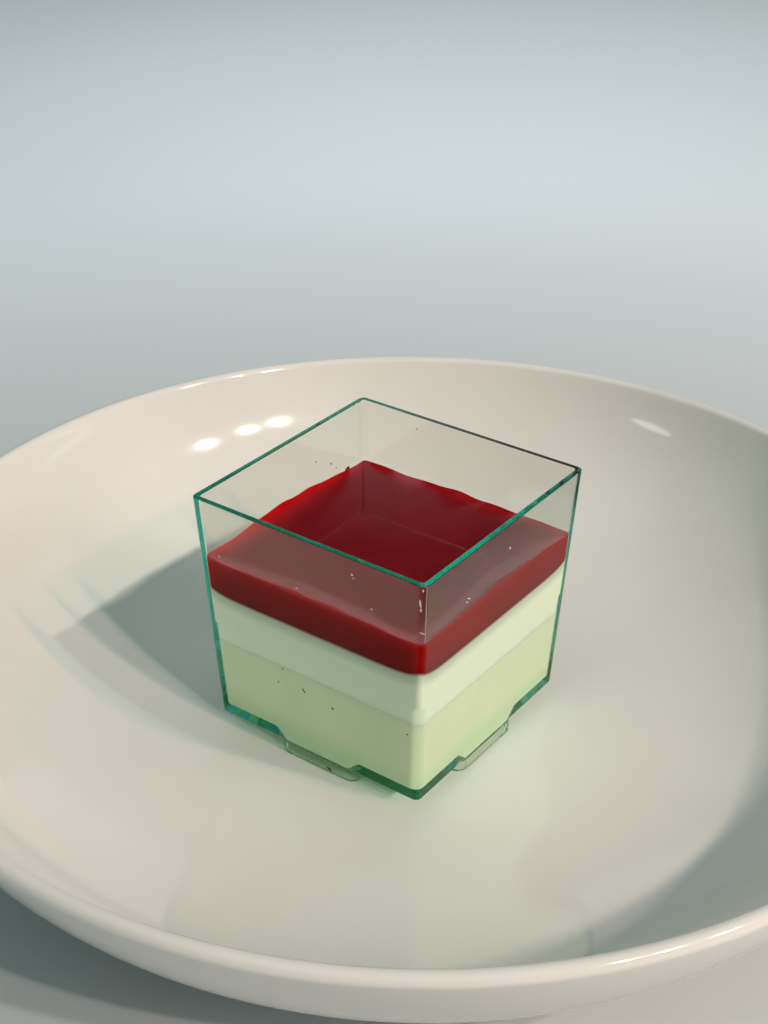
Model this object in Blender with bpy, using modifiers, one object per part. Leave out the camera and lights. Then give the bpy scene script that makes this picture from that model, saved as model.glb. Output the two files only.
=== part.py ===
"""A panna cotta under a layer of red fruit jelly, set in a clear green cube cup on a deep white plate.

Sizes are metres and +Z is up. The origin is the middle of the plate's foot ring, on the surface
that the plate stands on. The cup's sides face along X and Y, and heights inside the cup are
measured from the underside of its floor.
"""

import math

import bmesh
import bpy

GAP = 0.0003  # left between solids that touch

# Plate: a turned coupe, whose flat floor sweeps up to a steep side and a rounded lip
PLATE_RADIUS = 0.0970
PLATE_DEPTH = 0.0325  # from the top of the lip down to the floor
PLATE_FLOOR = 0.0040  # thickness of the floor
LIP_THICKNESS = 0.0028
FLAT_FLOOR_RADIUS = 0.0220
LIP_LEAN = 21  # degrees outward from upright, of the side where it meets the lip
FOOT_RING_HEIGHT = 0.0020
FOOT_RING_RADIUS = 0.0400  # to the outside of the ring
FOOT_RING_WIDTH = 0.0040
FOOT_RING_DRAFT = 0.0005  # how much each side of the ring slopes in towards its foot
INNER_SWEEP = 3.4  # power of the superellipse between the floor and the lip
OUTER_SWEEP = 3.29
OUTER_SWEEP_RADIUS = 0.01835  # where the outer side would leave the level, inside the foot ring
SWEEP_CUT = 0.0060  # how far short of upright both superellipses are cut off
SWEEP_STEPS = 9
LIP_STEPS = 5
PLATE_STEPS = 80  # segments around

# Cup: a square tapered box of clear plastic on four low feet
CUP_PLACE = (-0.0063, 0.0005)  # middle of the cup, from the middle of the plate
CUP_TOP = 0.0500  # outer width at the rim
CUP_BASE = 0.0453  # outer width at the floor
CUP_HEIGHT = 0.04635  # from the underside of the floor to the rim
CUP_WALL = 0.0011
CUP_FLOOR = 0.0019
CUP_EDGE = 0.0003  # rounding of the rim and of the floor's outer edge
OUTER_CORNER = 0.0004
INNER_CORNER = 0.0009  # above the stacking ledges
LEDGE_CORNER = 0.0020  # below them, where the corners are thicker
LEDGE_HEIGHT = 0.0203
LEDGE_SLOPE = 0.0004  # drop from a ledge's root to its edge
CORNER_STEPS = 4
EDGE_STEPS = 2

# Feet: at the middle of each side, a hollow block flush with the wall. A rib around its outer side
# and ends stands on the plate, and the cup's inner floor dips into its top as a well.
FOOT_HEIGHT = 0.0029
FOOT_LENGTH = 0.0185
FOOT_REACH = 0.0036  # how far it runs in under the floor
FOOT_THICKNESS = 0.0009  # of the rib
FOOT_BEND = 0.0022  # rounding of its outer corners
FOOT_DRAFT = 0.0004  # how much shorter each end is at the bottom
FOOT_INSET = 0.0001
FOOT_OVERLAP = 0.0010  # how far a foot runs up into the floor, to join it
FOOT_TABLE = 0.0011  # from the cup's underside down to the level that closes the well
BEND_STEPS = 3
CUTTER_REACH = 0.0005  # how far a cutter sticks out of what it cuts
WELL_BOTTOM = -0.0005
WELL_INSET = 0.0001  # from the inner wall
WELL_WIDTH = 0.0020
WELL_LENGTH = 0.0200  # at the cup's inner floor
WELL_BOTTOM_LENGTH = 0.0125
WELL_STEPS = 4

# Food: heights above the underside of the cup's floor
LOWER_CREAM_TOP = 0.01665
UPPER_CREAM_TOP = 0.02685
CREAM_CREEP = 0.0013  # how much higher the cream set in the cup's corners
CREAM_CREEP_REACH = 0.0020
JELLY_TOP = 0.0335
JELLY_CREEP = 0.00075  # how much higher, on average, the jelly set at the walls
JELLY_CREEP_REACH = 0.0013
JELLY_WAVES = (  # height, waves around the cup, turn in degrees
    (0.00045, 1, 90),
    (0.00046, 2, 0),
    (0.00042, 4, 0),
    (0.00010, 11, 40),
)
SIDE_STEPS = 9  # segments along each side of a curved surface
SURFACE_INSETS = (0.0, 0.0006, 0.0014, 0.0026, 0.0045, 0.0080, 0.0140, 0.0200)


def clear_scene():
    for old in list(bpy.data.objects):
        bpy.data.objects.remove(old, do_unlink=True)


def new_collection(name):
    collection = bpy.data.collections.new(name)
    bpy.context.scene.collection.children.link(collection)
    return collection


def make_material(name, colour, roughness, transmission=0.0):
    material = bpy.data.materials.new(name)
    material.use_nodes = True
    shader = material.node_tree.nodes["Principled BSDF"]
    shader.inputs["Base Color"].default_value = (*colour, 1.0)
    shader.inputs["Roughness"].default_value = roughness
    shader.inputs["Metallic"].default_value = 0.0
    shader.inputs["Transmission Weight"].default_value = transmission
    return material


def turned(points, quarter):
    """Points turned about the cup's middle by a number of quarter turns."""
    cosine, sine = ((1, 0), (0, 1), (-1, 0), (0, -1))[quarter]
    return [(x * cosine - y * sine, x * sine + y * cosine, *height) for x, y, *height in points]


def square_ring(half_width, corner_radius, side_steps=1):
    """Points around a square with rounded corners, anticlockwise from its +X side."""
    reach = half_width - corner_radius
    side = [(half_width, reach * (2 * step / side_steps - 1)) for step in range(1, side_steps)]
    for step in range(CORNER_STEPS + 1):
        angle = math.radians(90) * step / CORNER_STEPS
        side.append(
            (reach + corner_radius * math.cos(angle), reach + corner_radius * math.sin(angle))
        )
    return [point for quarter in range(4) for point in turned(side, quarter)]


def loft(name, rings, collection, quarters=1):
    """A closed skin over rings of equal count from the underside to the top, repeated by quarter turns."""
    mesh = bpy.data.meshes.new(name)
    bm = bmesh.new()
    for quarter in range(quarters):
        loops = [[bm.verts.new(point) for point in turned(ring, quarter)] for ring in rings]
        count = len(loops[0])
        for low, high in zip(loops, loops[1:]):
            for index in range(count):
                following = (index + 1) % count
                bm.faces.new((low[index], low[following], high[following], high[index]))
        bm.faces.new(reversed(loops[0]))
        bm.faces.new(loops[-1])
    bmesh.ops.recalc_face_normals(bm, faces=bm.faces)
    bm.to_mesh(mesh)
    bm.free()
    solid = bpy.data.objects.new(name, mesh)
    collection.objects.link(solid)
    return solid


def at_height(points, height):
    return [(x, y, height) for x, y in points]


def smooth(solid, degrees):
    solid.data.shade_smooth()
    solid.data.set_sharp_from_angle(angle=math.radians(degrees))


# Plate


def sweep(first_radius, start_radius, end, start_height, power):
    """Points up a superellipse that leaves start_radius level and is cut off before it is upright."""
    reach = end[0] + SWEEP_CUT - start_radius

    def turn(radius):
        return math.asin(((radius - start_radius) / reach) ** (power / 2))

    def rise(angle):
        return 1 - math.cos(angle) ** (2 / power)

    first = turn(first_radius)
    last = turn(end[0])
    points = []
    for step in range(SWEEP_STEPS + 1):
        angle = first + (last - first) * step / SWEEP_STEPS
        radius = start_radius + reach * math.sin(angle) ** (2 / power)
        height = start_height + (end[1] - start_height) * rise(angle) / rise(last)
        points.append((radius, height))
    return points


def plate_profile():
    """Radius and height around half the plate's section, from the middle of its floor."""
    underside = FOOT_RING_HEIGHT
    floor = underside + PLATE_FLOOR
    lip_radius = LIP_THICKNESS / 2
    middle_radius = PLATE_RADIUS - lip_radius
    middle_height = floor + PLATE_DEPTH - lip_radius
    lean = math.radians(LIP_LEAN)
    lip = []
    for step in range(LIP_STEPS + 1):
        angle = lean + math.pi * step / LIP_STEPS
        radius = middle_radius - lip_radius * math.cos(angle)
        height = middle_height + lip_radius * math.sin(angle)
        lip.append((radius, height))
    inside = sweep(FLAT_FLOOR_RADIUS, FLAT_FLOOR_RADIUS, lip[0], floor, INNER_SWEEP)
    outside = sweep(FOOT_RING_RADIUS, OUTER_SWEEP_RADIUS, lip[-1], underside, OUTER_SWEEP)
    ring_inside = FOOT_RING_RADIUS - FOOT_RING_WIDTH
    foot_ring = [
        (FOOT_RING_RADIUS - FOOT_RING_DRAFT, 0.0),
        (ring_inside + FOOT_RING_DRAFT, 0.0),
        (ring_inside, underside),
    ]
    return [(0.0, floor)] + inside + lip[1:-1] + outside[::-1] + foot_ring + [(0.0, underside)]


def make_plate(collection):
    mesh = bpy.data.meshes.new("plate")
    points = [(radius, 0.0, height) for radius, height in plate_profile()]
    edges = [(index, index + 1) for index in range(len(points) - 1)]
    mesh.from_pydata(points, edges, [])
    plate = bpy.data.objects.new("plate", mesh)
    collection.objects.link(plate)
    screw = plate.modifiers.new("turn", "SCREW")
    screw.steps = PLATE_STEPS
    screw.render_steps = PLATE_STEPS
    screw.use_merge_vertices = True
    screw.merge_threshold = 0.00001
    screw.use_smooth_shade = True
    plate.data.materials.append(make_material("porcelain", (0.86, 0.84, 0.78), 0.08))
    return plate


# Cup


def outer_half(height):
    return (CUP_BASE + (CUP_TOP - CUP_BASE) * height / CUP_HEIGHT) / 2


def inner_half(height):
    return outer_half(height) - CUP_WALL


def rounded_edge(half_width, height, corner_radius, inward, upward, first, last):
    """Rings around a small quarter round, whose centre lies inward and upward of the sharp edge."""
    rings = []
    for step in range(EDGE_STEPS + 1):
        angle = math.radians(first + (last - first) * step / EDGE_STEPS)
        half = half_width + inward * CUP_EDGE + CUP_EDGE * math.cos(angle)
        level = height + upward * CUP_EDGE + CUP_EDGE * math.sin(angle)
        rings.append(at_height(square_ring(half, corner_radius + half - half_width), level))
    return rings


def cup_rings():
    """The cup's skin, from the outer edge of its underside, over the rim, to its inner floor."""
    rings = rounded_edge(outer_half(0), 0.0, OUTER_CORNER, -1, 1, -90, 0)
    rings += rounded_edge(outer_half(CUP_HEIGHT), CUP_HEIGHT, OUTER_CORNER, -1, -1, 0, 90)
    rings += rounded_edge(inner_half(CUP_HEIGHT), CUP_HEIGHT, INNER_CORNER, 1, -1, 90, 180)
    for height, corner in (
        (LEDGE_HEIGHT, INNER_CORNER),
        (LEDGE_HEIGHT - LEDGE_SLOPE, LEDGE_CORNER),
        (CUP_FLOOR, LEDGE_CORNER),
    ):
        rings.append(at_height(square_ring(inner_half(height), corner), height))
    return rings


def foot_outline(inset, shrink, reach):
    """A foot seen from above, with its outer face towards -Y and its outer corners rounded."""
    half = FOOT_LENGTH / 2 - inset - shrink
    radius = FOOT_BEND - inset
    face = -outer_half(0) + FOOT_INSET + inset
    points = [(-half, face - inset + reach)]
    for side, first in ((-1, 180), (1, 270)):
        for step in range(BEND_STEPS + 1):
            angle = math.radians(first + 90 * step / BEND_STEPS)
            points.append(
                (
                    side * (half - radius) + radius * math.cos(angle),
                    face + radius + radius * math.sin(angle),
                )
            )
    points.append((half, face - inset + reach))
    return points


def foot_rings():
    return [
        at_height(foot_outline(0.0, FOOT_DRAFT, FOOT_REACH), -FOOT_HEIGHT),
        at_height(foot_outline(0.0, 0.0, FOOT_REACH), FOOT_OVERLAP),
    ]


def hollow_rings():
    """The space inside a foot's rib, open downwards and towards the cup's middle."""
    reach = FOOT_REACH + CUTTER_REACH
    return [
        at_height(foot_outline(FOOT_THICKNESS, FOOT_DRAFT, reach), -FOOT_HEIGHT - CUTTER_REACH),
        at_height(foot_outline(FOOT_THICKNESS, FOOT_DRAFT, reach), -FOOT_TABLE),
    ]


def well_rings(shrink, top):
    """A well in the floor over a foot, whose ends slope down in a soft curve."""
    face = -inner_half(CUP_FLOOR) + WELL_INSET + shrink
    back = -inner_half(CUP_FLOOR) + WELL_INSET + WELL_WIDTH - shrink
    rings = []
    for step in range(WELL_STEPS + 1):
        rise = step / WELL_STEPS
        spread = math.acos(1 - 2 * rise) / math.pi
        half = (WELL_BOTTOM_LENGTH + (WELL_LENGTH - WELL_BOTTOM_LENGTH) * spread) / 2 - shrink
        height = WELL_BOTTOM + (CUP_FLOOR - WELL_BOTTOM) * rise + shrink
        rings.append(at_height([(-half, face), (half, face), (half, back), (-half, back)], height))
    rings.append([(x, y, top) for x, y, height in rings[-1]])
    return rings


def add_boolean(solid, operation, name, rings, guides, place):
    """Joins or cuts a solid with a shape that is repeated at the cup's four sides."""
    shape = loft(name, rings, guides, quarters=4)
    shape.parent = place
    shape.hide_render = True
    shape.display_type = "WIRE"
    modifier = solid.modifiers.new(name, "BOOLEAN")
    modifier.operation = operation
    modifier.solver = "EXACT"
    modifier.object = shape


def make_cup(collection, guides, place):
    cup = loft("cup", cup_rings(), collection)
    cup.parent = place
    add_boolean(cup, "UNION", "feet", foot_rings(), guides, place)
    add_boolean(cup, "DIFFERENCE", "foot_hollows", hollow_rings(), guides, place)
    wells = well_rings(0.0, CUP_FLOOR + CUTTER_REACH)
    add_boolean(cup, "DIFFERENCE", "wells", wells, guides, place)
    smooth(cup, 30)
    cup.data.materials.append(make_material("clear_plastic", (0.55, 0.86, 0.78), 0.04, 1.0))
    return cup


# Food


def level_surface(height):
    return lambda x, y: height


def cream_top(x, y):
    """The upper cream set level, and crept up a little in the cup's four corners."""
    corner = inner_half(UPPER_CREAM_TOP)
    distance = math.hypot(corner - abs(x), corner - abs(y))
    return UPPER_CREAM_TOP + CREAM_CREEP * math.exp(-distance / CREAM_CREEP_REACH)


def jelly_bottom(x, y):
    return cream_top(x, y) + GAP


def jelly_top(x, y):
    """The jelly set level in the middle, with an uneven edge where it clung to the walls."""
    angle = math.atan2(y, x)
    creep = JELLY_CREEP
    for height, waves, turn in JELLY_WAVES:
        creep += height * math.cos(waves * angle + math.radians(turn))
    distance = inner_half(JELLY_TOP) - max(abs(x), abs(y))
    return JELLY_TOP + creep * math.exp(-max(distance, 0.0) / JELLY_CREEP_REACH)


def surface_rings(surface, height, corner_radius, insets=SURFACE_INSETS):
    """Rings on a food surface near a height, from the cup's wall towards the middle."""
    rings = []
    for inset in insets:
        half = inner_half(height) - GAP - inset
        corner = min(corner_radius + GAP + inset / 2, half)
        ring = square_ring(half, corner, SIDE_STEPS)
        rings.append([(x, y, surface(x, y)) for x, y in ring])
    return rings


def make_layer(name, rings, material, collection, place):
    layer = loft(name, rings, collection)
    layer.parent = place
    smooth(layer, 40)
    layer.data.materials.append(material)
    return layer


def make_food(collection, guides, place):
    rim_only = SURFACE_INSETS[:1]
    bottom = CUP_FLOOR + GAP
    rings = surface_rings(level_surface(bottom), bottom, LEDGE_CORNER, rim_only)
    rings += surface_rings(
        level_surface(LOWER_CREAM_TOP), LOWER_CREAM_TOP, LEDGE_CORNER, rim_only
    )
    lower = make_material("vanilla_cream", (0.80, 0.79, 0.55), 0.35)
    layer = make_layer("cream_lower", rings, lower, collection, place)
    filling = well_rings(GAP, bottom + CUTTER_REACH)
    add_boolean(layer, "UNION", "well_filling", filling, guides, place)

    bottom = LOWER_CREAM_TOP + GAP
    root = LEDGE_HEIGHT + GAP
    edge = root - LEDGE_SLOPE
    rings = surface_rings(level_surface(bottom), bottom, LEDGE_CORNER, rim_only)
    rings += surface_rings(level_surface(edge), edge, LEDGE_CORNER, rim_only)
    rings += surface_rings(level_surface(root), root, INNER_CORNER, rim_only)
    rings += surface_rings(cream_top, UPPER_CREAM_TOP, INNER_CORNER)
    upper = make_material("milk_cream", (0.88, 0.87, 0.68), 0.35)
    make_layer("cream_upper", rings, upper, collection, place)

    rings = surface_rings(jelly_bottom, UPPER_CREAM_TOP, INNER_CORNER)[::-1]
    rings += surface_rings(jelly_top, JELLY_TOP, INNER_CORNER)
    red = make_material("red_jelly", (0.33, 0.008, 0.012), 0.10)
    make_layer("red_jelly", rings, red, collection, place)


def main():
    clear_scene()
    collection = new_collection("panna_cotta")
    guides = new_collection("guides")
    place = bpy.data.objects.new("cup_place", None)
    place.location = (*CUP_PLACE, FOOT_RING_HEIGHT + PLATE_FLOOR + GAP + FOOT_HEIGHT)
    guides.objects.link(place)
    make_plate(collection)
    make_cup(collection, guides, place)
    make_food(collection, guides, place)
    bpy.context.view_layer.update()


main()
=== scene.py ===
"""The looks of a panna cotta: cream under red jelly in a clear cube cup, on a deep white plate.

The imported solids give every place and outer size. The pieces here repeat their formulas with finer
steps. Sizes are metres and +Z is up.
"""

import math

import bmesh
import bpy
from mathutils import Matrix, Vector, noise


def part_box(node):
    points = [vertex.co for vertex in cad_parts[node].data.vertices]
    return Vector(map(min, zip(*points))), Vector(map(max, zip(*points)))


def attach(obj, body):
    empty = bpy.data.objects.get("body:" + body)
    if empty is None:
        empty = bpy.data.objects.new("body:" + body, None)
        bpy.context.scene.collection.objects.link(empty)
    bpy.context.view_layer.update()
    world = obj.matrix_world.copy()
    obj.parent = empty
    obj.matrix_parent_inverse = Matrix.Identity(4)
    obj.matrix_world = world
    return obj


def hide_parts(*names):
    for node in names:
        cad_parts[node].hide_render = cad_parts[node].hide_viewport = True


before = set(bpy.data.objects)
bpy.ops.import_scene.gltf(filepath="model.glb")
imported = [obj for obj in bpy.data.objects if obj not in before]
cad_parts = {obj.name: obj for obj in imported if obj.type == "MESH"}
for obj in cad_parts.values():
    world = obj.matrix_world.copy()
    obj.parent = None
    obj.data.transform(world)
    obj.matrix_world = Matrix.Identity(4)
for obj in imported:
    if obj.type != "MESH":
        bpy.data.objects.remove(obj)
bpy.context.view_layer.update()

plate_low, plate_high = (Vector(corner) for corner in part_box("plate"))
cup_low, cup_high = (Vector(corner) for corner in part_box("cup"))
cream_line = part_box("cream_lower")[1][2]

# Plate
PLATE_RADIUS = (plate_high.x - plate_low.x) / 2
PLATE_DEPTH = 0.0325
PLATE_FLOOR = 0.0040
LIP_THICKNESS = 0.0028
FLAT_FLOOR_RADIUS = 0.0220
LIP_LEAN = 21  # degrees outward from upright, of the side where it meets the lip
FOOT_RING_HEIGHT = 0.0020
FOOT_RING_RADIUS = 0.0400
FOOT_RING_WIDTH = 0.0040
FOOT_RING_DRAFT = 0.0005
INNER_SWEEP = 3.4  # power of the superellipse between the floor and the lip
OUTER_SWEEP = 3.29
OUTER_SWEEP_RADIUS = 0.01835
SWEEP_CUT = 0.0060
SWEEP_STEPS = 48
LIP_STEPS = 16
PLATE_STEPS = 256
MERGE_DISTANCE = 0.00001

# Cup: heights inside it are counted from CUP_UNDERSIDE
CUP_MIDDLE = Vector(((cup_low.x + cup_high.x) / 2, (cup_low.y + cup_high.y) / 2))
CUP_TOP = cup_high.x - cup_low.x
CUP_BASE = 0.0453
FOOT_HEIGHT = 0.0029
CUP_UNDERSIDE = cup_low.z + FOOT_HEIGHT
CUP_HEIGHT = cup_high.z - CUP_UNDERSIDE
CUP_WALL = 0.0011
CUP_FLOOR = 0.0019
CUP_EDGE = 0.0002
OUTER_CORNER = 0.0012
INNER_CORNER = 0.0006
LEDGE_CORNER = 0.0014
LEDGE_HEIGHT = 0.0203
LEDGE_SLOPE = 0.0004
CORNER_STEPS = 10
EDGE_STEPS = 5
CUP_SMOOTH = 35  # degrees; faces that meet at a larger angle keep a sharp edge

# Feet of the cup, and the wells over them
FOOT_LENGTH = 0.0185
FOOT_REACH = 0.0036
FOOT_THICKNESS = 0.0009
FOOT_BEND = 0.0022
FOOT_DRAFT = 0.0004
FOOT_INSET = 0.0001
FOOT_OVERLAP = 0.0010
FOOT_TABLE = 0.0011
BEND_STEPS = 10
CUTTER_REACH = 0.0005
WELL_BOTTOM = -0.0005
WELL_INSET = 0.0001
WELL_WIDTH = 0.0020
WELL_LENGTH = 0.0200
WELL_BOTTOM_LENGTH = 0.0125
WELL_STEPS = 16

# Food: it reaches a little into the cup's wall, so that no air shows between them
WALL_REACH = 0.00005
OVERLAP = 0.00010  # how far each layer runs into the one below
LOWER_CREAM_TOP = cream_line - CUP_UNDERSIDE
UPPER_CREAM_TOP = 0.02685
CREAM_CREEP = 0.0013
CREAM_CREEP_REACH = 0.0020
JELLY_TOP = 0.0335
JELLY_CREEP = 0.00075
JELLY_CREEP_REACH = 0.0013
JELLY_WAVES = (  # height, waves around the cup, turn in degrees
    (0.00045, 1, 90),
    (0.00046, 2, 0),
    (0.00042, 4, 0),
    (0.00010, 11, 40),
    (0.00010, 19, 75),
)
UPRIGHT = 0.25  # upward share of a face's normal, up to which it counts as upright
FOOD_SMOOTH = 40
SIDE_STEPS = 56
SURFACE_INSETS = (
    0.0, 0.0002, 0.0004, 0.0007, 0.0010, 0.0014, 0.0019, 0.0026, 0.0036, 0.0050, 0.0070, 0.0100,
    0.0140, 0.0180, 0.0210,
)

# Small marks: the cup's side, counted from its -Y side by quarter turns, the place along that side
# from its middle, the height above the cup's underside, the width, the height, the tilt in degrees
VANILLA_SPECKS = (
    (0, -0.0069, 0.0161, 0.00040, 0.00040, 0),
    (0, -0.0081, 0.0127, 0.00030, 0.00070, 5),
    (0, -0.0024, 0.0134, 0.00045, 0.00130, -35),
    (0, 0.0041, 0.0121, 0.00055, 0.00060, 0),
    (0, 0.0204, 0.0139, 0.00040, 0.00065, 0),
)
WHITE_MARKS = (
    (0, -0.0018, 0.0359, 0.00030, 0.00025, 0),
    (0, -0.0194, 0.0358, 0.00035, 0.00035, 0),
    (0, 0.0103, 0.0433, 0.00040, 0.00035, 40),
    (0, 0.0106, 0.0427, 0.00025, 0.00020, 0),
    (0, 0.0141, 0.0379, 0.00035, 0.00028, 0),
    (1, -0.0114, 0.0372, 0.00090, 0.00022, 35),
    (1, -0.0119, 0.0367, 0.00050, 0.00022, 30),
    (1, 0.0008, 0.0412, 0.00050, 0.00035, 20),
    (0, 0.0246, 0.0457, 0.00025, 0.00050, 0),
    (0, 0.0240, 0.0429, 0.00030, 0.00150, -8),
    (0, 0.0241, 0.0417, 0.00045, 0.00050, 0),
    (0, 0.0243, 0.0372, 0.00120, 0.00020, -4),
)
DARK_CRUMBS = (
    (3, -0.0183, 0.0332, 0.00150, 0.00100, 25),
    (3, -0.0090, 0.0388, 0.00035, 0.00030, 0),
    (3, -0.0135, 0.0365, 0.00030, 0.00045, 0),
    (3, -0.0150, 0.0350, 0.00025, 0.00025, 0),
    (2, 0.0115, 0.0434, 0.00035, 0.00025, 0),
    (0, 0.0031, -0.0021, 0.00110, 0.00055, 20),
)
MARK_THICKNESS = 0.00016
MARK_BULGE = 0.45  # unevenness, as a share of the size
MARK_GRAIN = 1.6
MARK_ROUNDS = 3  # subdivisions of each lump

# Colours: the first and the second shade of a mottled surface, or one shade
GLAZE = ((0.76, 0.75, 0.72), (0.73, 0.72, 0.69))
LOWER_CREAM = ((0.85, 0.83, 0.59), (0.82, 0.80, 0.56))
UPPER_CREAM = ((1.0, 0.94, 0.76), (1.0, 0.92, 0.73))
# Painted shade of the cream just under the red
CREAM_PAINTED_SHADE = (0.66, 0.66, 0.55)
# Pink-red tint of the cream in the last fraction of a millimetre under the red
CREAM_PINK_TINT = (0.42, 0.12, 0.10)
# Painted light: green glow of the cup's floor on the cream near the bottom
CREAM_PAINTED_GREEN_GLOW = (0.44, 0.70, 0.36)
# Painted glow: emission on the cream's underside, for light that comes down through the cream
PAINTED_UNDERSIDE_GLOW = (0.045, 0.075, 0.016)
JELLY_OPEN = ((0.185, 0.009, 0.013), (0.160, 0.007, 0.011))
# Brighter than the open jelly: painted light, for the light that comes through the jelly
JELLY_PAINTED_LIT_AT_WALL = ((0.31, 0.008, 0.008), (0.27, 0.006, 0.007))
JELLY_PAINTED_THIN_GLOW = (0.50, 0.004, 0.006)
SPECK_BROWN = ((0.030, 0.022, 0.012), (0.075, 0.050, 0.025))
MARK_WHITE = ((0.80, 0.80, 0.76), (0.62, 0.62, 0.58))
CRUMB_BLACK = ((0.012, 0.010, 0.010), (0.05, 0.04, 0.035))
# Floor: painted shade close to the plate, pale further out
FLOOR_PAINTED_SHADE = (0.57, 0.61, 0.63)
FLOOR_FAR = (0.80, 0.86, 0.92)

# Mottling of the glaze, the cream and the jelly
MOTTLE_DETAIL = 4
MOTTLE_LOW = 0.35
MOTTLE_HIGH = 0.65

# Cream: depths below the red, for its painted shade and pink-red tint there, and heights above
# the cup's underside, for its painted green glow
SHADE_REACH = 0.0034
SHADE_FULL = 0.0004
PINK_TINT_REACH = 0.0007
GREEN_GLOW_REACH = 0.0065
GREEN_GLOW_FULL = 0.0025
GREEN_GLOW_SHARE = 0.30

# Jelly: how far from the wall its edge is painted brighter, a painted glow where it thins out
BRIGHT_REACH = 0.0016
BRIGHT_DROP = 0.0002  # how far below the top's level the bright edge starts

# Clear plastic
PLASTIC_IOR = 1.45
PLASTIC_TINT = (1.0, 0.91, 0.875)  # of one wall
PLASTIC_GREEN = (0.055, 0.90, 0.878)  # of a long way through it
PLASTIC_DENSITY = 100.0
STRAIGHT_LIGHT = (0.99, 0.985, 0.973)  # what a face lets through for shadows and soft light
SLANTING_LIGHT = (0.30, 0.36, 0.34)
SLANT_START = 0.80
# Painted reflection: the wall's reflection is cut to this share below the jelly's top, on both faces
PAINTED_FILLED_SHINE = 0.10  # share of the reflection that is left where food touches the wall
SHINE_START = 0.0002  # above the jelly's top
SHINE_FULL = 0.0013

# Food against clear plastic
FOOD_IOR = 1.36
CONTACT_IOR = 0.84  # of food over plastic, where they touch
CONTACT_SHINE = 0.03  # reflection there that is left out, as food wets the wall
CREAM_CONTACT = 0.92  # strength of the reflection at a slant
JELLY_CONTACT = 1.0

# Light: angles are a compass angle counted from +X and an angle of height, in degrees
WARM = (1.0, 0.835, 0.72)
COOL = (0.85, 0.95, 1.0)
LAMP_COMPASS = (7, -6, -15)
LAMP_RISE = 40
AREA_LIGHTS = (  # name, angles, distance, width and height, watts, colour, whether mirrors show it
    *(
        (f"lamp_{number + 1}", (compass, LAMP_RISE), 1.5, (0.042, 0.042), 5.9, WARM, True)
        for number, compass in enumerate(LAMP_COMPASS)
    ),
    ("front_fill", (-125, 20), 1.6, (0.50, 0.50), 2.2, (0.84, 1.0, 0.87), False),
    ("side_fill", (20, 15), 1.5, (0.50, 0.50), 4.0, (1.0, 0.92, 0.83), False),
    ("front_window", (-116, 26.5), 1.5, (0.26, 0.07), 0.25, COOL, True),
    ("side_window", (34, 13), 1.5, (0.40, 0.06), 0.10, COOL, True),
)
BACK_FILL = ("back_fill", (126, 60), 0.8, (0.30, 0.30), 0.22, COOL, False)
BACK_FILL_SPREAD = 70
SKY_COLOUR = (0.75, 1.0, 1.0)
SKY_FADE = (0.30, 1.0, 0.037, 0.386)  # sine of the lowest and highest angle, and the strength there
GLOW_COLOUR = (1.0, 0.85, 1.0)
GLOW_ANGLES = (125, 16)
GLOW_FADE = (0.9636, 0.9833, 0.0, 0.62)  # cosine off its middle where it ends, is full; strengths
FLOOR_SIZE = 6.0
FLOOR_FADE = (0.10, 0.36)  # distance from the plate's middle

# View
BLACK_LEVEL = 0.006
CAMERA_PLACE = Vector((0.13907, -0.20082, 0.19201))
CAMERA_AZIMUTH = 36.09  # turned from looking along +Y, towards looking along -X
CAMERA_ELEVATION = 29.87
CAMERA_ROLL = 0.27
CAMERA_LENS = 56.2
NEAREST = 0.01
BOUNCES = 64
CLEAR_BOUNCES = 32
CLAMP = 4.0


# Shapes


def turned(points, quarter):
    """Points turned about the cup's middle by a number of quarter turns."""
    cosine, sine = ((1, 0), (0, 1), (-1, 0), (0, -1))[quarter]
    return [(x * cosine - y * sine, x * sine + y * cosine, *height) for x, y, *height in points]


def square_ring(half_width, corner_radius, side_steps=1):
    """Points around a square with rounded corners, anticlockwise from its +X side."""
    reach = half_width - corner_radius
    side = [(half_width, reach * (2 * step / side_steps - 1)) for step in range(1, side_steps)]
    for step in range(CORNER_STEPS + 1):
        angle = math.radians(90) * step / CORNER_STEPS
        side.append(
            (reach + corner_radius * math.cos(angle), reach + corner_radius * math.sin(angle))
        )
    return [point for quarter in range(4) for point in turned(side, quarter)]


def at_height(points, height):
    return [(x, y, height) for x, y in points]


def loft(name, rings, quarters=1):
    """Closed skins over rings that run from the underside to the top, set in the cup's place."""
    mesh = bpy.data.meshes.new(name)
    bm = bmesh.new()
    for quarter in range(quarters):
        loops = [[bm.verts.new(point) for point in turned(ring, quarter)] for ring in rings]
        count = len(loops[0])
        for low, high in zip(loops, loops[1:]):
            for index in range(count):
                following = (index + 1) % count
                bm.faces.new((low[index], low[following], high[following], high[index]))
        bm.faces.new(reversed(loops[0]))
        bm.faces.new(loops[-1])
    bmesh.ops.recalc_face_normals(bm, faces=bm.faces)
    bmesh.ops.translate(bm, verts=bm.verts, vec=(*CUP_MIDDLE, CUP_UNDERSIDE))
    bm.to_mesh(mesh)
    bm.free()
    piece = bpy.data.objects.new(name, mesh)
    bpy.context.scene.collection.objects.link(piece)
    return piece


def combine(piece, *steps):
    """Joins or cuts a piece with shapes, each given after the Boolean's name, and removes them."""
    for operation, shape in steps:
        modifier = piece.modifiers.new(shape.name, "BOOLEAN")
        modifier.operation = operation
        modifier.solver = "EXACT"
        modifier.object = shape
    combined = bpy.data.meshes.new_from_object(
        piece.evaluated_get(bpy.context.evaluated_depsgraph_get())
    )
    piece.modifiers.clear()
    piece.data = combined
    for operation, shape in steps:
        bpy.data.objects.remove(shape, do_unlink=True)


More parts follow.
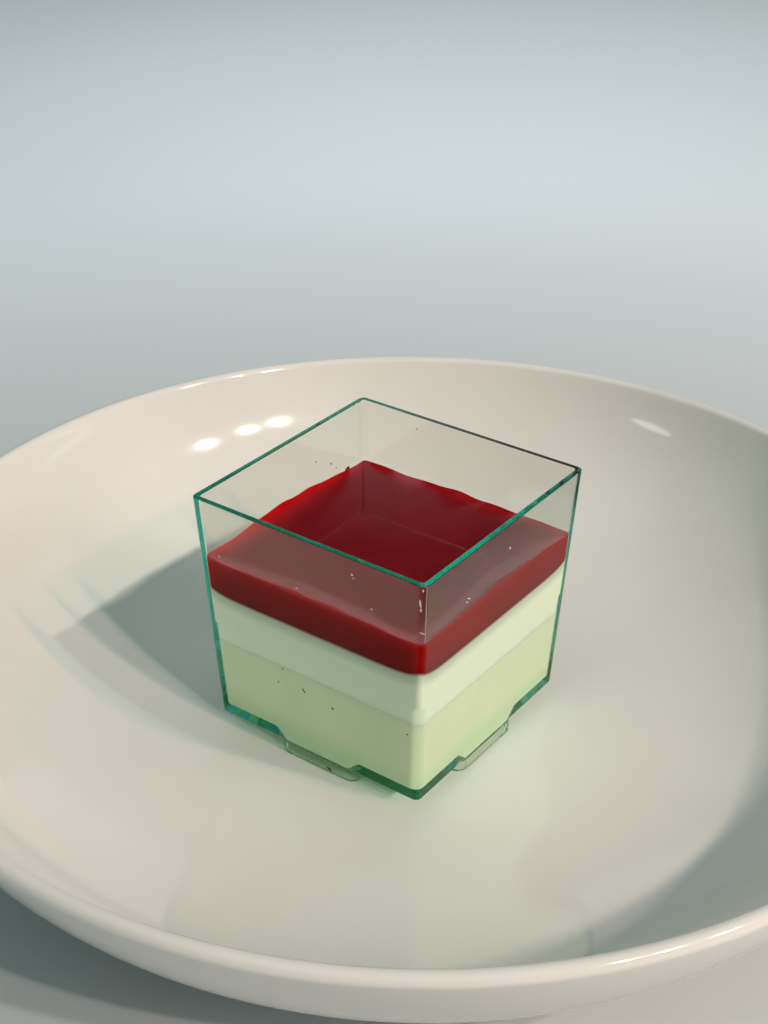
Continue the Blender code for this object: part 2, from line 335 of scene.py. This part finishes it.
def smooth(piece, degrees):
    piece.data.shade_smooth()
    piece.data.set_sharp_from_angle(angle=math.radians(degrees))
    flat = piece.modifiers.new("flat_faces_stay_flat", "WEIGHTED_NORMAL")
    flat.weight = 100
    flat.keep_sharp = True


def settle(piece, material, node=None):
    """Gives a finished piece its material and its body, and hides the solid that it stands for."""
    piece.data.materials.append(material)
    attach(piece, "root")
    if node:
        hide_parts(node)


# Materials


class Paint:
    """A Principled material with short ways to add and join its nodes."""

    def __init__(self, name, constants):
        self.material = bpy.data.materials.new(name)
        self.material.use_nodes = True
        self.nodes = self.material.node_tree.nodes
        self.links = self.material.node_tree.links
        self.shader = self.nodes["Principled BSDF"]
        for socket, value in constants.items():
            self.shader.inputs[socket].default_value = value

    def add(self, kind, inputs=None, **settings):
        node = self.nodes.new(kind)
        for name, value in settings.items():
            setattr(node, name, value)
        for key, value in (inputs or {}).items():
            if isinstance(value, bpy.types.NodeSocket):
                self.links.new(value, node.inputs[key])
            else:
                node.inputs[key].default_value = value
        return node

    def place(self):
        return self.add("ShaderNodeTexCoord").outputs["Object"]

    def height(self):
        return self.add("ShaderNodeSeparateXYZ", {"Vector": self.place()}).outputs["Z"]

    def grain(self, scale, detail):
        inputs = {"Vector": self.place(), "Scale": scale, "Detail": detail}
        return self.add("ShaderNodeTexNoise", inputs).outputs["Fac"]

    def spread(self, value, low, high, to_low=0.0, to_high=1.0, smooth_step=False):
        """Turns the values from low to high into others; beyond them it stays as at the end."""
        inputs = {"Value": value, "From Min": low, "From Max": high}
        inputs.update({"To Min": to_low, "To Max": to_high})
        node = self.add("ShaderNodeMapRange", inputs)
        node.interpolation_type = "SMOOTHSTEP" if smooth_step else "LINEAR"
        return node.outputs["Result"]

    def blend(self, share, first, second):
        """Mixes two colours, each given as a socket or as three numbers."""
        node = self.add("ShaderNodeMix", data_type="RGBA")
        colour_a, colour_b = [socket for socket in node.inputs if socket.type == "RGBA"]
        for socket, value in ((node.inputs[0], share), (colour_a, first), (colour_b, second)):
            if isinstance(value, bpy.types.NodeSocket):
                self.links.new(value, socket)
            elif isinstance(value, tuple):
                socket.default_value = (*value, 1.0)
            else:
                socket.default_value = value
        return next(socket for socket in node.outputs if socket.type == "RGBA")

    def mottled(self, scale, shades):
        """A colour that drifts softly between two shades."""
        grain = self.grain(scale, MOTTLE_DETAIL)
        return self.blend(self.spread(grain, MOTTLE_LOW, MOTTLE_HIGH), *shades)

    def colour(self, socket):
        self.links.new(socket, self.shader.inputs["Base Color"])

    def rough(self, socket):
        self.links.new(socket, self.shader.inputs["Roughness"])

    def touch_wall(self, strength):
        """Makes the surface lie against clear plastic, which guides slanting light past it."""
        fresnel = self.add("ShaderNodeFresnel", {"IOR": CONTACT_IOR}).outputs["Fac"]
        shine = self.spread(fresnel, CONTACT_SHINE, 1.0, 0.0, strength)
        mirror = self.add("ShaderNodeBsdfGlossy", {"Color": (1.0, 1.0, 1.0, 1.0), "Roughness": 0.0})
        self.mix_surface(shine, mirror)
        self.shader.inputs["Specular IOR Level"].default_value = 0.0

    def mix_surface(self, share, other):
        """Mixes a share of another shader into the surface."""
        mix = self.add(
            "ShaderNodeMixShader",
            {0: share, 1: self.shader.outputs["BSDF"], 2: other.outputs["BSDF"]},
        )
        self.links.new(mix.outputs["Shader"], self.nodes["Material Output"].inputs["Surface"])

    def bump(self, height, strength, distance):
        node = self.add(
            "ShaderNodeBump", {"Height": height, "Strength": strength, "Distance": distance}
        )
        self.links.new(node.outputs["Normal"], self.shader.inputs["Normal"])


def porcelain():
    """White glaze: a little warm, faintly mottled, with the soft waviness of a fired surface."""
    paint = Paint("porcelain", {"IOR": 1.5})
    paint.colour(paint.mottled(35, GLAZE))
    paint.rough(paint.spread(paint.grain(60, 2), 0.3, 0.7, 0.05, 0.10))
    paint.bump(paint.grain(90, 2), 0.05, 0.0004)
    return paint.material


def clear_plastic():
    """Clear moulded plastic: colourless across a wall, green along it. Lamps shine through it."""
    paint = Paint(
        "clear_plastic",
        {"IOR": PLASTIC_IOR, "Transmission Weight": 1.0, "Base Color": (*PLASTIC_TINT, 1.0)},
    )
    paint.rough(paint.spread(paint.grain(160, 3), 0.45, 0.75, 0.0, 0.03))
    # Painted reflection: the wall reflects less below the jelly's top, set by height
    filled = CUP_UNDERSIDE + JELLY_TOP
    start, full = filled + SHINE_START, filled + SHINE_FULL
    shine = paint.spread(paint.height(), start, full, PAINTED_FILLED_SHINE, 1.0, True)
    paint.links.new(shine, paint.shader.inputs["Specular Tint"])
    path = paint.add("ShaderNodeLightPath")
    passing = paint.add(
        "ShaderNodeMath",
        {0: path.outputs["Is Shadow Ray"], 1: path.outputs["Is Diffuse Ray"]},
        operation="MAXIMUM",
    )
    facing = paint.add("ShaderNodeLayerWeight", {"Blend": 0.5}).outputs["Facing"]
    shade = paint.blend(paint.spread(facing, SLANT_START, 1.0), STRAIGHT_LIGHT, SLANTING_LIGHT)
    through = paint.add("ShaderNodeBsdfTransparent", {"Color": shade})
    paint.mix_surface(passing.outputs["Value"], through)
    inside = {"Color": (*PLASTIC_GREEN, 1.0), "Density": PLASTIC_DENSITY}
    tint = paint.add("ShaderNodeVolumeAbsorption", inside)
    paint.links.new(tint.outputs["Volume"], paint.nodes["Material Output"].inputs["Volume"])
    return paint.material


def cream(name, shades, glow=None):
    """Set cream: faintly mottled, with painted shade and a pink-red tint under the red, and a
    painted green glow above the cup's floor.

    The underside gets a faint painted glow: an emission that stands for the light that comes
    down through the cream.
    """
    paint = Paint(
        name,
        {
            "IOR": FOOD_IOR,
            "Subsurface Weight": 0.35,
            "Subsurface Radius": (1.0, 0.8, 0.55),
            "Subsurface Scale": 0.0022,
        },
    )
    depth = paint.add("ShaderNodeAttribute", attribute_name="depth").outputs["Fac"]
    # Painted shade: the cream is dimmed just under the red, and tinted pink-red at the line
    dim = paint.spread(depth, SHADE_REACH, SHADE_FULL, smooth_step=True)
    stain = paint.spread(depth, PINK_TINT_REACH, 0.0, smooth_step=True)
    # Painted light: the green glow of the cup's floor, mixed in near the bottom
    reach, full = CUP_UNDERSIDE + GREEN_GLOW_REACH, CUP_UNDERSIDE + GREEN_GLOW_FULL
    low = paint.spread(paint.height(), reach, full, 0.0, GREEN_GLOW_SHARE, True)
    body = paint.blend(dim, paint.mottled(110, shades), CREAM_PAINTED_SHADE)
    body = paint.blend(stain, body, CREAM_PINK_TINT)
    paint.colour(paint.blend(low, body, CREAM_PAINTED_GREEN_GLOW))
    # Painted glow: an emission that stands for light coming down through the cream
    if glow:
        paint.shader.inputs["Emission Color"].default_value = (*glow, 1.0)
        paint.shader.inputs["Emission Strength"].default_value = 1.0
    paint.rough(paint.spread(paint.grain(200, 2), 0.3, 0.7, 0.25, 0.45))
    paint.touch_wall(CREAM_CONTACT)
    return paint.material


def open_jelly():
    """Deep red fruit jelly, with a painted glow where it thins out up the wall."""
    paint = Paint(
        "red_jelly",
        {
            "IOR": FOOD_IOR,
            "Subsurface Weight": 0.25,
            "Subsurface Radius": (1.0, 0.12, 0.10),
            "Subsurface Scale": 0.0016,
        },
    )
    edge = paint.add("ShaderNodeAttribute", attribute_name="edge").outputs["Fac"]
    paint.colour(paint.blend(edge, paint.mottled(140, JELLY_OPEN), JELLY_PAINTED_THIN_GLOW))
    paint.rough(paint.spread(paint.grain(120, 2), 0.3, 0.7, 0.01, 0.03))
    paint.bump(paint.grain(220, 3), 0.03, 0.0003)
    return paint.material


def jelly_at_wall():
    """The same jelly where it lies against the wall, lit from inside by what comes through it.

    Its colour is brighter than the open jelly's: painted light, for what comes through it.
    """
    paint = Paint(
        "red_jelly_at_wall",
        {
            "IOR": FOOD_IOR,
            "Subsurface Weight": 1.0,
            "Subsurface Radius": (1.0, 0.12, 0.10),
            "Subsurface Scale": 0.012,
        },
    )
    paint.colour(paint.mottled(140, JELLY_PAINTED_LIT_AT_WALL))
    paint.rough(paint.spread(paint.grain(120, 2), 0.3, 0.7, 0.01, 0.03))
    paint.touch_wall(JELLY_CONTACT)
    return paint.material


def speck_paint(name, shades):
    paint = Paint(name, {"Roughness": 0.5})
    paint.colour(paint.blend(paint.grain(900, 2), *shades))
    return paint.material


# Plate


def sweep(first_radius, start_radius, end, start_height, power):
    """Points up a superellipse that leaves start_radius level and ends before it is upright."""
    reach = end[0] + SWEEP_CUT - start_radius

    def turn(radius):
        return math.asin(((radius - start_radius) / reach) ** (power / 2))

    def rise(angle):
        return 1 - math.cos(angle) ** (2 / power)

    first = turn(first_radius)
    last = turn(end[0])
    points = []
    for step in range(SWEEP_STEPS + 1):
        angle = first + (last - first) * step / SWEEP_STEPS
        radius = start_radius + reach * math.sin(angle) ** (2 / power)
        height = start_height + (end[1] - start_height) * rise(angle) / rise(last)
        points.append((radius, height))
    return points


def plate_profile():
    underside = plate_low.z + FOOT_RING_HEIGHT
    floor = underside + PLATE_FLOOR
    lip_radius = LIP_THICKNESS / 2
    middle_radius = PLATE_RADIUS - lip_radius
    middle_height = floor + PLATE_DEPTH - lip_radius
    lean = math.radians(LIP_LEAN)
    lip = []
    for step in range(LIP_STEPS + 1):
        angle = lean + math.pi * step / LIP_STEPS
        radius = middle_radius - lip_radius * math.cos(angle)
        height = middle_height + lip_radius * math.sin(angle)
        lip.append((radius, height))
    inside = sweep(FLAT_FLOOR_RADIUS, FLAT_FLOOR_RADIUS, lip[0], floor, INNER_SWEEP)
    outside = sweep(FOOT_RING_RADIUS, OUTER_SWEEP_RADIUS, lip[-1], underside, OUTER_SWEEP)
    ring_inside = FOOT_RING_RADIUS - FOOT_RING_WIDTH
    foot_ring = [
        (FOOT_RING_RADIUS - FOOT_RING_DRAFT, plate_low.z),
        (ring_inside + FOOT_RING_DRAFT, plate_low.z),
        (ring_inside, underside),
    ]
    return [(0.0, floor)] + inside + lip[1:-1] + outside[::-1] + foot_ring + [(0.0, underside)]


def make_plate():
    mesh = bpy.data.meshes.new("fine_plate")
    points = [(radius, 0.0, height) for radius, height in plate_profile()]
    edges = [(index, index + 1) for index in range(len(points) - 1)]
    mesh.from_pydata(points, edges, [])
    plate = bpy.data.objects.new("fine_plate", mesh)
    bpy.context.scene.collection.objects.link(plate)
    screw = plate.modifiers.new("turn", "SCREW")
    screw.steps = PLATE_STEPS
    screw.render_steps = PLATE_STEPS
    screw.use_merge_vertices = True
    screw.merge_threshold = MERGE_DISTANCE
    screw.use_smooth_shade = True
    settle(plate, porcelain(), "plate")


# Cup


def outer_half(height):
    return (CUP_BASE + (CUP_TOP - CUP_BASE) * height / CUP_HEIGHT) / 2


def inner_half(height):
    return outer_half(height) - CUP_WALL


def rounded_edge(half_width, height, corner, inward, upward, first, last):
    """Rings around a small quarter round, between two angles in degrees."""
    rings = []
    for step in range(EDGE_STEPS + 1):
        angle = math.radians(first + (last - first) * step / EDGE_STEPS)
        half = half_width + inward * CUP_EDGE + CUP_EDGE * math.cos(angle)
        level = height + upward * CUP_EDGE + CUP_EDGE * math.sin(angle)
        rings.append(at_height(square_ring(half, corner + half - half_width), level))
    return rings


def cup_rings():
    outer, inner = outer_half(CUP_HEIGHT), inner_half(CUP_HEIGHT)
    rings = rounded_edge(outer_half(0), 0.0, OUTER_CORNER, -1, 1, -90, 0)
    rings += rounded_edge(outer, CUP_HEIGHT, OUTER_CORNER, -1, -1, 0, 90)
    rings += rounded_edge(inner, CUP_HEIGHT, INNER_CORNER, 1, -1, 90, 180)
    for height, corner in (
        (LEDGE_HEIGHT, INNER_CORNER),
        (LEDGE_HEIGHT - LEDGE_SLOPE, LEDGE_CORNER),
        (CUP_FLOOR, LEDGE_CORNER),
    ):
        rings.append(at_height(square_ring(inner_half(height), corner), height))
    return rings


def foot_outline(inset, shrink, reach):
    """A foot seen from above, with its outer face towards -Y and its outer corners rounded."""
    half = FOOT_LENGTH / 2 - inset - shrink
    radius = FOOT_BEND - inset
    face = -outer_half(0) + FOOT_INSET + inset
    points = [(-half, face - inset + reach)]
    for side, first in ((-1, 180), (1, 270)):
        for step in range(BEND_STEPS + 1):
            angle = math.radians(first + 90 * step / BEND_STEPS)
            points.append(
                (
                    side * (half - radius) + radius * math.cos(angle),
                    face + radius + radius * math.sin(angle),
                )
            )
    points.append((half, face - inset + reach))
    return points


def foot_rings():
    return [
        at_height(foot_outline(0.0, FOOT_DRAFT, FOOT_REACH), -FOOT_HEIGHT),
        at_height(foot_outline(0.0, 0.0, FOOT_REACH), FOOT_OVERLAP),
    ]


def hollow_rings():
    """The space inside a foot's rib, open downwards and towards the cup's middle."""
    reach = FOOT_REACH + CUTTER_REACH
    return [
        at_height(foot_outline(FOOT_THICKNESS, FOOT_DRAFT, reach), -FOOT_HEIGHT - CUTTER_REACH),
        at_height(foot_outline(FOOT_THICKNESS, FOOT_DRAFT, reach), -FOOT_TABLE),
    ]


def well_rings(shrink, top):
    """A well in the floor over a foot, whose ends slope down in a soft curve."""
    face = -inner_half(CUP_FLOOR) + WELL_INSET + shrink
    back = -inner_half(CUP_FLOOR) + WELL_INSET + WELL_WIDTH - shrink
    rings = []
    for step in range(WELL_STEPS + 1):
        rise = step / WELL_STEPS
        spread = math.acos(1 - 2 * rise) / math.pi
        half = (WELL_BOTTOM_LENGTH + (WELL_LENGTH - WELL_BOTTOM_LENGTH) * spread) / 2 - shrink
        height = WELL_BOTTOM + (CUP_FLOOR - WELL_BOTTOM) * rise + shrink
        rings.append(at_height([(-half, face), (half, face), (half, back), (-half, back)], height))
    rings.append([(x, y, top) for x, y, height in rings[-1]])
    return rings


def make_cup():
    cup = loft("fine_cup", cup_rings())
    combine(
        cup,
        ("UNION", loft("feet", foot_rings(), quarters=4)),
        ("DIFFERENCE", loft("foot_hollows", hollow_rings(), quarters=4)),
        ("DIFFERENCE", loft("wells", well_rings(0.0, CUP_FLOOR + CUTTER_REACH), quarters=4)),
    )
    smooth(cup, CUP_SMOOTH)
    settle(cup, clear_plastic(), "cup")


# Food


def cream_top(x, y):
    corner = inner_half(UPPER_CREAM_TOP)
    distance = math.hypot(corner - abs(x), corner - abs(y))
    return UPPER_CREAM_TOP + CREAM_CREEP * math.exp(-distance / CREAM_CREEP_REACH)


def jelly_top(x, y):
    angle = math.atan2(y, x)
    creep = JELLY_CREEP
    for height, waves, turn in JELLY_WAVES:
        creep += height * math.cos(waves * angle + math.radians(turn))
    distance = inner_half(JELLY_TOP) - max(abs(x), abs(y))
    return JELLY_TOP + creep * math.exp(-max(distance, 0.0) / JELLY_CREEP_REACH)


def surface_rings(surface, height, corner_radius, insets=SURFACE_INSETS):
    """Rings on a food surface near a height, from just inside the cup's wall towards the middle."""
    rings = []
    for inset in insets:
        half = inner_half(height) + WALL_REACH - inset
        corner = min(corner_radius - WALL_REACH + inset / 2, half)
        ring = []
        for x, y in square_ring(half, corner, SIDE_STEPS):
            level = surface(x, y)
            follow = 1 + (inner_half(level) - inner_half(height)) / half
            ring.append((x * follow, y * follow, level))
        rings.append(ring)
    return rings


def level_ring(height, corner_radius, inset=0.0):
    return surface_rings(lambda x, y: height, height, corner_radius, (inset,))


def mark_edge(piece):
    """Writes how near each point of a surface is to the wall, from 0 inside to 1 at the wall."""
    edge = piece.data.attributes.new("edge", "FLOAT", "POINT")
    for vertex in piece.data.vertices:
        x = vertex.co.x - CUP_MIDDLE.x
        y = vertex.co.y - CUP_MIDDLE.y
        height = vertex.co.z - CUP_UNDERSIDE
        inset = inner_half(height) - max(abs(x), abs(y))
        near = math.exp(-max(inset, 0.0) / BRIGHT_REACH)
        edge.data[vertex.index].value = near if height > JELLY_TOP - BRIGHT_DROP else 0.0


def mark_depth(piece):
    """Writes how far below the red each point of the cream lies."""
    depth = piece.data.attributes.new("depth", "FLOAT", "POINT")
    for vertex in piece.data.vertices:
        top = CUP_UNDERSIDE + cream_top(vertex.co.x - CUP_MIDDLE.x, vertex.co.y - CUP_MIDDLE.y)
        depth.data[vertex.index].value = top - vertex.co.z


def paint_below(piece, material, limit):
    """Gives a second material to the faces whose normals point up less than a limit."""
    piece.data.materials.append(material)
    for face in piece.data.polygons:
        face.material_index = 1 if face.normal.z < limit else 0


def make_lower_cream():
    rings = level_ring(CUP_FLOOR - WALL_REACH, LEDGE_CORNER)
    rings += level_ring(LOWER_CREAM_TOP, LEDGE_CORNER)
    lower = loft("fine_cream_lower", rings)
    filling = well_rings(-WALL_REACH, CUP_FLOOR + CUTTER_REACH)
    combine(lower, ("UNION", loft("well_filling", filling, quarters=4)))
    mark_depth(lower)
    smooth(lower, FOOD_SMOOTH)
    settle(lower, cream("vanilla_cream", LOWER_CREAM), "cream_lower")
    paint_below(lower, cream("vanilla_cream_painted_glow_underside", LOWER_CREAM, PAINTED_UNDERSIDE_GLOW), -UPRIGHT)


def make_upper_cream():
    rings = level_ring(LOWER_CREAM_TOP - OVERLAP, LEDGE_CORNER, OVERLAP)
    rings += level_ring(LOWER_CREAM_TOP, LEDGE_CORNER)
    rings += level_ring(LEDGE_HEIGHT - LEDGE_SLOPE, LEDGE_CORNER)
    rings += level_ring(LEDGE_HEIGHT, INNER_CORNER)
    rings += surface_rings(cream_top, UPPER_CREAM_TOP, INNER_CORNER)
    upper = loft("fine_cream_upper", rings)
    mark_depth(upper)
    smooth(upper, FOOD_SMOOTH)
    settle(upper, cream("milk_cream", UPPER_CREAM), "cream_upper")


def jelly_bottom(x, y):
    return cream_top(x, y) - OVERLAP


def make_jelly():
    under = (OVERLAP, *SURFACE_INSETS[2:])
    rings = surface_rings(jelly_bottom, UPPER_CREAM_TOP, INNER_CORNER, under)[::-1]
    rings += surface_rings(cream_top, UPPER_CREAM_TOP, INNER_CORNER, SURFACE_INSETS[:1])
    rings += surface_rings(jelly_top, JELLY_TOP, INNER_CORNER)
    red = loft("fine_red_jelly", rings)
    mark_edge(red)
    smooth(red, FOOD_SMOOTH)
    settle(red, open_jelly(), "red_jelly")
    paint_below(red, jelly_at_wall(), UPRIGHT)


# Marks


def add_mark(bm, mark, inset, seed):
    """A small uneven lump that lies flat on the cup's wall, at a depth below its outer face."""
    quarter, along, height, width, tall, tilt = mark
    turn = math.radians(tilt)
    depth = outer_half(height) - inset
    lump = bmesh.ops.create_icosphere(bm, subdivisions=MARK_ROUNDS, radius=1.0)["verts"]
    for vertex in lump:
        bulge = 1 + MARK_BULGE * noise.noise(vertex.co * MARK_GRAIN + Vector((seed, 0.0, 0.0)))
        across = vertex.co.x * bulge * width / 2
        out = vertex.co.y * bulge * MARK_THICKNESS / 2
        up = vertex.co.z * bulge * tall / 2
        x = along + across * math.cos(turn) + up * math.sin(turn)
        z = height - across * math.sin(turn) + up * math.cos(turn)
        vertex.co = turned([(x, out - depth, z)], quarter)[0]


def make_marks(name, marks, inset, paint):
    mesh = bpy.data.meshes.new(name)
    bm = bmesh.new()
    for number, mark in enumerate(marks):
        add_mark(bm, mark, inset, 10 * number)
    bmesh.ops.recalc_face_normals(bm, faces=bm.faces)
    bmesh.ops.translate(bm, verts=bm.verts, vec=(*CUP_MIDDLE, CUP_UNDERSIDE))
    bm.to_mesh(mesh)
    bm.free()
    mesh.shade_smooth()
    piece = bpy.data.objects.new(name, mesh)
    bpy.context.scene.collection.objects.link(piece)
    settle(piece, paint)


def make_all_marks():
    on_wall = -MARK_THICKNESS / 4
    brown = speck_paint("vanilla_speck", SPECK_BROWN)
    make_marks("vanilla_specks", VANILLA_SPECKS, CUP_WALL, brown)
    white = speck_paint("white_mark", MARK_WHITE)
    make_marks("white_marks", WHITE_MARKS, on_wall, white)
    dark = speck_paint("dark_crumb", CRUMB_BLACK)
    make_marks("dark_crumbs", DARK_CRUMBS, on_wall, dark)


# Surroundings


def make_floor():
    """A plain pale floor, with painted shade that makes it greyer close to the plate."""
    paint = Paint("pale_floor", {"Roughness": 0.6})
    place = paint.add("ShaderNodeVectorMath", {0: paint.place()}, operation="LENGTH")
    away = paint.spread(place.outputs["Value"], *FLOOR_FADE, smooth_step=True)
    paint.colour(paint.blend(away, FLOOR_PAINTED_SHADE, FLOOR_FAR))
    bpy.ops.mesh.primitive_plane_add(size=FLOOR_SIZE, location=(0, 0, plate_low.z))
    floor = bpy.context.object
    floor.name = "floor"
    floor.data.materials.append(paint.material)


def aim(compass, height):
    """The direction at a compass angle and an angle of height, in degrees."""
    flat = math.radians(compass)
    up = math.radians(height)
    return Vector((math.cos(up) * math.cos(flat), math.cos(up) * math.sin(flat), math.sin(up)))


def area_light(name, angles, distance, sizes, power, colour, mirrored):
    """A soft light aimed at the cup."""
    light = bpy.data.lights.new(name, "AREA")
    light.shape = "ELLIPSE"
    light.size, light.size_y = sizes
    light.energy = power
    light.color = colour
    away = aim(*angles)
    lamp = bpy.data.objects.new(name, light)
    lamp.location = Vector((*CUP_MIDDLE, CUP_UNDERSIDE)) + away * distance
    lamp.rotation_euler = away.to_track_quat("Z", "Y").to_euler()
    lamp.visible_glossy = mirrored
    lamp.visible_transmission = False
    bpy.context.scene.collection.objects.link(lamp)
    return lamp


def make_lights():
    for row in AREA_LIGHTS:
        area_light(*row)
    back = area_light(*BACK_FILL)
    back.rotation_euler = (0.0, 0.0, 0.0)
    back.data.spread = math.radians(BACK_FILL_SPREAD)
    make_sky()


def fade(tree, value, limits):
    """A soft step in a world's nodes, from two values to the two strengths that they give."""
    node = tree.nodes.new("ShaderNodeMapRange")
    node.interpolation_type = "SMOOTHSTEP"
    tree.links.new(value, node.inputs["Value"])
    for name, limit in zip(("From Min", "From Max", "To Min", "To Max"), limits):
        node.inputs[name].default_value = limit
    return node.outputs["Result"]


def make_sky():
    """Soft light that fades from bright overhead to dim at the sides, and a pale glow behind."""
    world = bpy.data.worlds.new("studio")
    world.use_nodes = True
    tree = world.node_tree
    direction = tree.nodes.new("ShaderNodeTexCoord").outputs["Generated"]
    split = tree.nodes.new("ShaderNodeSeparateXYZ")
    tree.links.new(direction, split.inputs["Vector"])
    sky = tree.nodes["Background"]
    sky.inputs["Color"].default_value = (*SKY_COLOUR, 1.0)
    tree.links.new(fade(tree, split.outputs["Z"], SKY_FADE), sky.inputs["Strength"])
    near = tree.nodes.new("ShaderNodeVectorMath")
    near.operation = "DOT_PRODUCT"
    near.inputs[1].default_value = aim(*GLOW_ANGLES)
    tree.links.new(direction, near.inputs[0])
    glow = tree.nodes.new("ShaderNodeBackground")
    glow.inputs["Color"].default_value = (*GLOW_COLOUR, 1.0)
    tree.links.new(fade(tree, near.outputs["Value"], GLOW_FADE), glow.inputs["Strength"])
    both = tree.nodes.new("ShaderNodeAddShader")
    tree.links.new(sky.outputs["Background"], both.inputs[0])
    tree.links.new(glow.outputs["Background"], both.inputs[1])
    tree.links.new(both.outputs["Shader"], tree.nodes["World Output"].inputs["Surface"])
    bpy.context.scene.world = world


def make_camera():
    turn = math.radians(CAMERA_AZIMUTH)
    rise = math.radians(CAMERA_ELEVATION)
    back = Vector(
        (math.sin(turn) * math.cos(rise), -math.cos(turn) * math.cos(rise), math.sin(rise))
    )
    right = Vector((math.cos(turn), math.sin(turn), 0.0))
    up = back.cross(right)
    axes = Matrix((right, up, back)).transposed()
    camera = bpy.data.objects.new("camera", bpy.data.cameras.new("camera"))
    camera.data.lens = CAMERA_LENS
    camera.data.clip_start = NEAREST
    camera.matrix_world = (
        Matrix.Translation(CAMERA_PLACE)
        @ axes.to_4x4()
        @ Matrix.Rotation(math.radians(CAMERA_ROLL), 4, "Z")
    )
    bpy.context.scene.collection.objects.link(camera)
    bpy.context.scene.camera = camera


def set_quality():
    scene = bpy.context.scene
    scene.view_settings.view_transform = "Standard"
    scene.view_settings.use_curve_mapping = True
    scene.view_settings.curve_mapping.black_level = (BLACK_LEVEL, BLACK_LEVEL, BLACK_LEVEL)
    scene.view_settings.curve_mapping.update()
    scene.cycles.max_bounces = BOUNCES
    scene.cycles.glossy_bounces = BOUNCES
    scene.cycles.transmission_bounces = BOUNCES
    scene.cycles.transparent_max_bounces = CLEAR_BOUNCES
    scene.cycles.sample_clamp_indirect = CLAMP
    scene.cycles.use_denoising = True


make_camera()
make_floor()
make_lights()
make_plate()
make_cup()
make_lower_cream()
make_upper_cream()
make_jelly()
make_all_marks()
set_quality()
